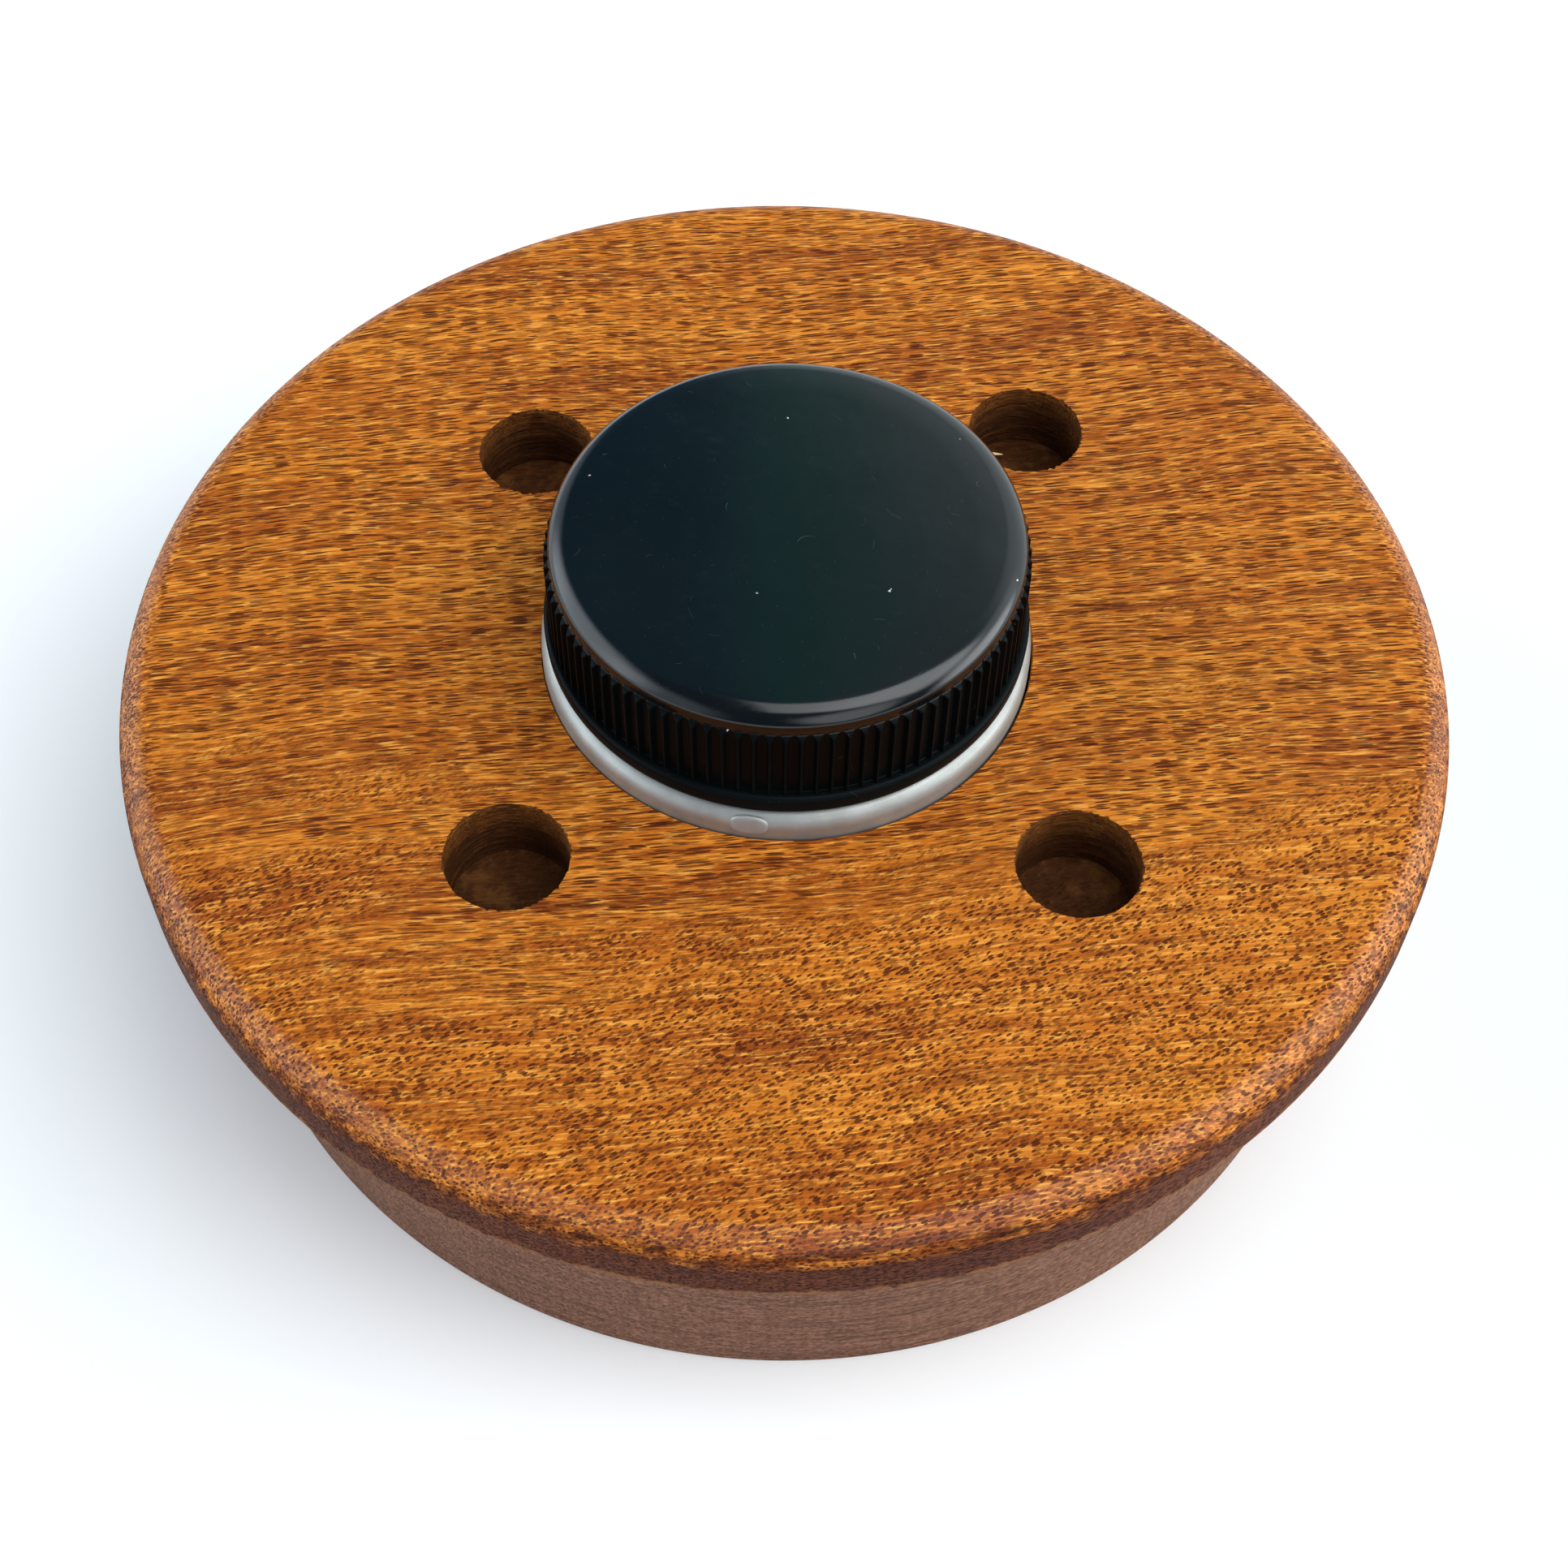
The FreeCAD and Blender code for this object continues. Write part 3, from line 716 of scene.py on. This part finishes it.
# the cap's lower edge, in millimetres: how far inside the bead and how far above the foot
BEAD_EDGE = [(0.45, 0.0), (0.22, 0.12), (0.16, 0.34), (0.30, 0.42), (0.05, 0.55)]
BEAD_ROUND = 0.5 * MM
DOME_ROWS = 7


def rib_turns():
    """Angles round the skirt, closer together where the ribs need their corners."""
    steps = RIB_SHARES + [1 - share for share in reversed(RIB_SHARES[1:-1])]
    return [2 * math.pi * (rib + step) / RIBS + RIB_PHASE for rib in range(RIBS) for step in steps]


def rib_height(turn, depth):
    """How far the skirt stands out: thin crests between round-topped flutes, under a sloping top."""
    share = ((turn - RIB_PHASE) * RIBS / (2 * math.pi)) % 1.0
    from_crest = min(share, 1 - share)
    slope = min(1.0, depth / RIB_SLOPE)
    rise = RIB_RISE * slope * (2 - slope)
    arch = min(1.0, max(0.0, depth - 0.04 * MM) / FLUTE_ARCH)
    flute = 0.455 * math.sqrt(1 - (1 - arch) ** 2)
    if flute <= 0:
        return rise
    inside = (0.5 - from_crest) / flute
    flank = min(1.0, max(0.0, (inside - 0.72) / 0.28))
    return rise * flank * flank * (3 - 2 * flank)


def cap_profile():
    """Points from the inner ceiling down and out over the bead and up to the crown's middle."""
    ceiling = CAP_FOOT + 9.9 * MM
    crown = CAP_TOP - DOME_RISE
    points = [(0, ceiling), (CAP_BORE - 0.3 * MM, ceiling), (CAP_BORE, ceiling - 0.3 * MM)]
    points += [(CAP_BORE, CAP_FOOT + 0.3 * MM), (CAP_BORE + 0.3 * MM, CAP_FOOT)]
    points += [(BEAD_RADIUS - inside * MM, CAP_FOOT + rise * MM) for inside, rise in BEAD_EDGE]
    points += arc((BEAD_RADIUS - BEAD_ROUND, BEAD_TOP - BEAD_ROUND), BEAD_ROUND, 0, 80, 8)
    points += [(SKIRT_RADIUS + 0.08 * MM, BEAD_TOP)]
    ribs_from = len(points)
    points += [(SKIRT_RADIUS, BEAD_TOP + 0.06 * MM)]
    points += [(CROWN_RADIUS, RIB_TOP - depth * MM) for depth in RIB_ROWS]
    ribs_to = len(points)
    points += [(CROWN_RADIUS, RIB_TOP), (CROWN_RADIUS, crown - CROWN_DROP - 0.04 * MM)]
    points += [(CROWN_RADIUS - 0.02 * MM, crown - CROWN_DROP)]
    lean = math.atan2(CROWN_DROP, CROWN_LEAN)
    inset = CROWN_RADIUS - CROWN_LEAN - CROWN_ROUND * math.tan(lean / 2)
    points += arc((inset, crown - CROWN_ROUND), CROWN_ROUND, 90 - math.degrees(lean), 85, 14)
    edge = points[-1]
    for step in range(1, DOME_ROWS):
        share = step / DOME_ROWS
        radius = edge[0] * (1 - share)
        points.append((radius, CAP_TOP - (CAP_TOP - edge[1]) * (radius / edge[0]) ** 2))
    points += [(0, CAP_TOP)]
    return points, range(ribs_from, ribs_to)


def make_cap(plastic):
    """The cap, its ribs in the skirt's rows, with its inner thread."""
    profile, ribbed = cap_profile()

    def ribs(out, height, turn, row):
        return out + rib_height(turn, RIB_TOP - height) if row in ribbed else out

    mesh = bmesh.new()
    spin(mesh, profile, rib_turns(), ribs)
    thread_ridge(mesh, CAP_BORE, inward=True)
    piece = finish_mesh("moulded_cap", mesh, 28)
    return place_piece(piece, "cap_shell", "cap_body", plastic)


def make_liner(foam):
    """The sealing disc, with the ring that the neck's lip has pressed into it."""
    radius, low, high = liner_high.x, liner_low.z, liner_high.z
    soft, dent = 0.2 * MM, 0.05 * MM
    points = [(0, low), (NECK_RADIUS - 1.0 * MM, low), (NECK_RADIUS - 0.7 * MM, low + dent)]
    points += [(NECK_RADIUS - 0.1 * MM, low + dent), (NECK_RADIUS + 0.1 * MM, low)]
    points += arc((radius - soft, low + soft), soft, -90, 0, 5)
    points += arc((radius - soft, high - soft), soft, 0, 90, 5)
    points += [(0, high)]
    mesh = bmesh.new()
    spin(mesh, points, even_turns(160))
    return place_piece(finish_mesh("sealing_disc", mesh), "cap_liner", "lift_body", foam)


# ---------------------------------------------------------------- stage, light and camera
FLOOR_RADIUS = 3.0


def make_floor():
    """A wide white sheet, open under the foot so that the underside can be looked at."""
    mesh = bmesh.new()
    spin(mesh, [(FOOT_RADIUS - 0.5 * MM, 0), (FLOOR_RADIUS, 0)], even_turns(96))
    floor = finish_mesh("floor", mesh)
    material, _, shader, _ = new_material("floor_paper")
    shader.inputs["Base Color"].default_value = (0.95, 0.94, 0.925, 1)
    shader.inputs["Roughness"].default_value = 0.85
    floor.data.materials.append(material)


# where the room's light comes from: its direction, how far round that it is full and where it
# ends, in degrees, and its brightness
ROOM_LIGHTS = {
    "left window": ((-0.97, 0.05, 0.25), 20, 42, (2.25, 2.42, 2.56)),
    "left back window": ((-0.80, 0.65, 0.15), 14, 30, (0.55, 0.60, 0.64)),
    "left front wall": ((-0.76, -0.55, 0.25), 14, 34, (0.70, 0.78, 0.88)),
    "right window": ((1.00, -0.08, 0.02), 14, 30, (4.10, 4.20, 4.25)),
    "right wall": ((0.86, 0.05, 0.36), 10, 30, (0.90, 0.95, 0.98)),
    "back right wall": ((0.56, 0.80, 0.22), 26, 46, (0.85, 0.90, 0.92)),
    "front right window": ((0.40, -0.80, 0.46), 10, 24, (1.80, 1.85, 1.90)),
}
CEILING_PANEL = ((0.34, -0.22, 0.91), 26, 46)
PANEL_GLOW = (3.80, 3.92, 4.00, 1)

# the room's own shades: behind the object at the left, middle and right, in front, and below
SHADE_LEFT, SHADE_MIDDLE = (0.06, 0.15, 0.25, 1), (0.10, 0.36, 0.35, 1)
SHADE_RIGHT, SHADE_FRONT = (0.28, 0.38, 0.42, 1), (0.06, 0.08, 0.12, 1)
SHADE_BELOW = (0.42, 0.42, 0.42, 1)


def make_world():
    """A shaded room lit by windows at both sides and a bright ceiling panel at the front right."""
    world = bpy.data.worlds.new("room")
    bpy.context.scene.world = world
    world.use_nodes = True
    tree = world.node_tree
    tree.nodes.clear()
    look = add(tree, "TexCoord").outputs["Generated"]
    parts = add(tree, "SeparateXYZ", {"Vector": look})
    side, depth, up = parts.outputs["X"], parts.outputs["Y"], parts.outputs["Z"]

    def facing(direction, full, end):
        aim = Vector(direction).normalized()
        near = add(tree, "VectorMath", {0: look, 1: aim}, operation="DOT_PRODUCT").outputs["Value"]
        return span(tree, near, math.cos(math.radians(end)), math.cos(math.radians(full)))

    split = span(tree, side, -0.045, -0.025)
    room = mix(tree, split, SHADE_LEFT, SHADE_MIDDLE)
    room = mix(tree, span(tree, side, 0.0, 0.12), room, SHADE_RIGHT)
    room = mix(tree, span(tree, depth, 0.10, -0.10), room, SHADE_FRONT)
    panel = facing(*CEILING_PANEL)
    panel = maths(tree, "MULTIPLY", panel, span(tree, side, -0.12, -0.08))
    panel = maths(tree, "MULTIPLY", panel, span(tree, depth, 0.16, 0.04))
    panel = maths(tree, "MULTIPLY", panel, span(tree, depth, -0.56, -0.44))
    panel = maths(tree, "MULTIPLY", panel, span(tree, side, -0.10, 0.35, 0.58, 1.0))
    room = mix(tree, panel, room, PANEL_GLOW)
    for direction, full, end, glow in ROOM_LIGHTS.values():
        reach = facing(direction, full, end)
        room = mix(tree, reach, room, (*glow, 1), "ADD")
    room = mix(tree, span(tree, up, -0.20, -0.40), room, SHADE_BELOW)
    background = add(tree, "Background", {"Color": room, "Strength": 1.0})
    output = add(tree, "OutputWorld")
    tree.links.new(background.outputs[0], output.inputs["Surface"])


# the photograph's camera; its reach and aim are shares of the disc's radius
SENSOR, LENS = 36.0, 55.91
TILT, ROLL = math.radians(54.4665), math.radians(1.0824)
REACH, AIM = 3.5054, (0.0009, -0.2705)


def make_camera():
    """The photograph's view: a close three-quarter look down at the top face."""
    data = bpy.data.cameras.new("camera")
    camera = bpy.data.objects.new("camera", data)
    data.sensor_width = SENSOR
    data.lens = LENS
    data.clip_start = 0.01
    target = Vector((AIM[0] * DISC_RADIUS, AIM[1] * DISC_RADIUS, WOOD_TOP))
    back = Vector((0, -math.cos(TILT), math.sin(TILT)))
    camera.location = target + back * (REACH * DISC_RADIUS)
    camera.rotation_mode = "QUATERNION"
    level = back.to_track_quat("Z", "Y")
    camera.rotation_quaternion = Quaternion(back, ROLL) @ level
    bpy.context.scene.collection.objects.link(camera)
    bpy.context.scene.camera = camera


bpy.context.scene.view_settings.view_transform = "Standard"
WOOD = wood_material("oiled_wood")
DRILLED = wood_material("drilled_wood", drilled=True)
make_base(WOOD, DRILLED)
sliver = splinter(PEG_HOLES["hole_back_right"])
sliver.data.materials.append(sliver_material())
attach(sliver, "base")
make_jar(aluminium_material())
make_cap(plastic_material())
make_liner(foam_material())
make_floor()
make_world()
make_camera()
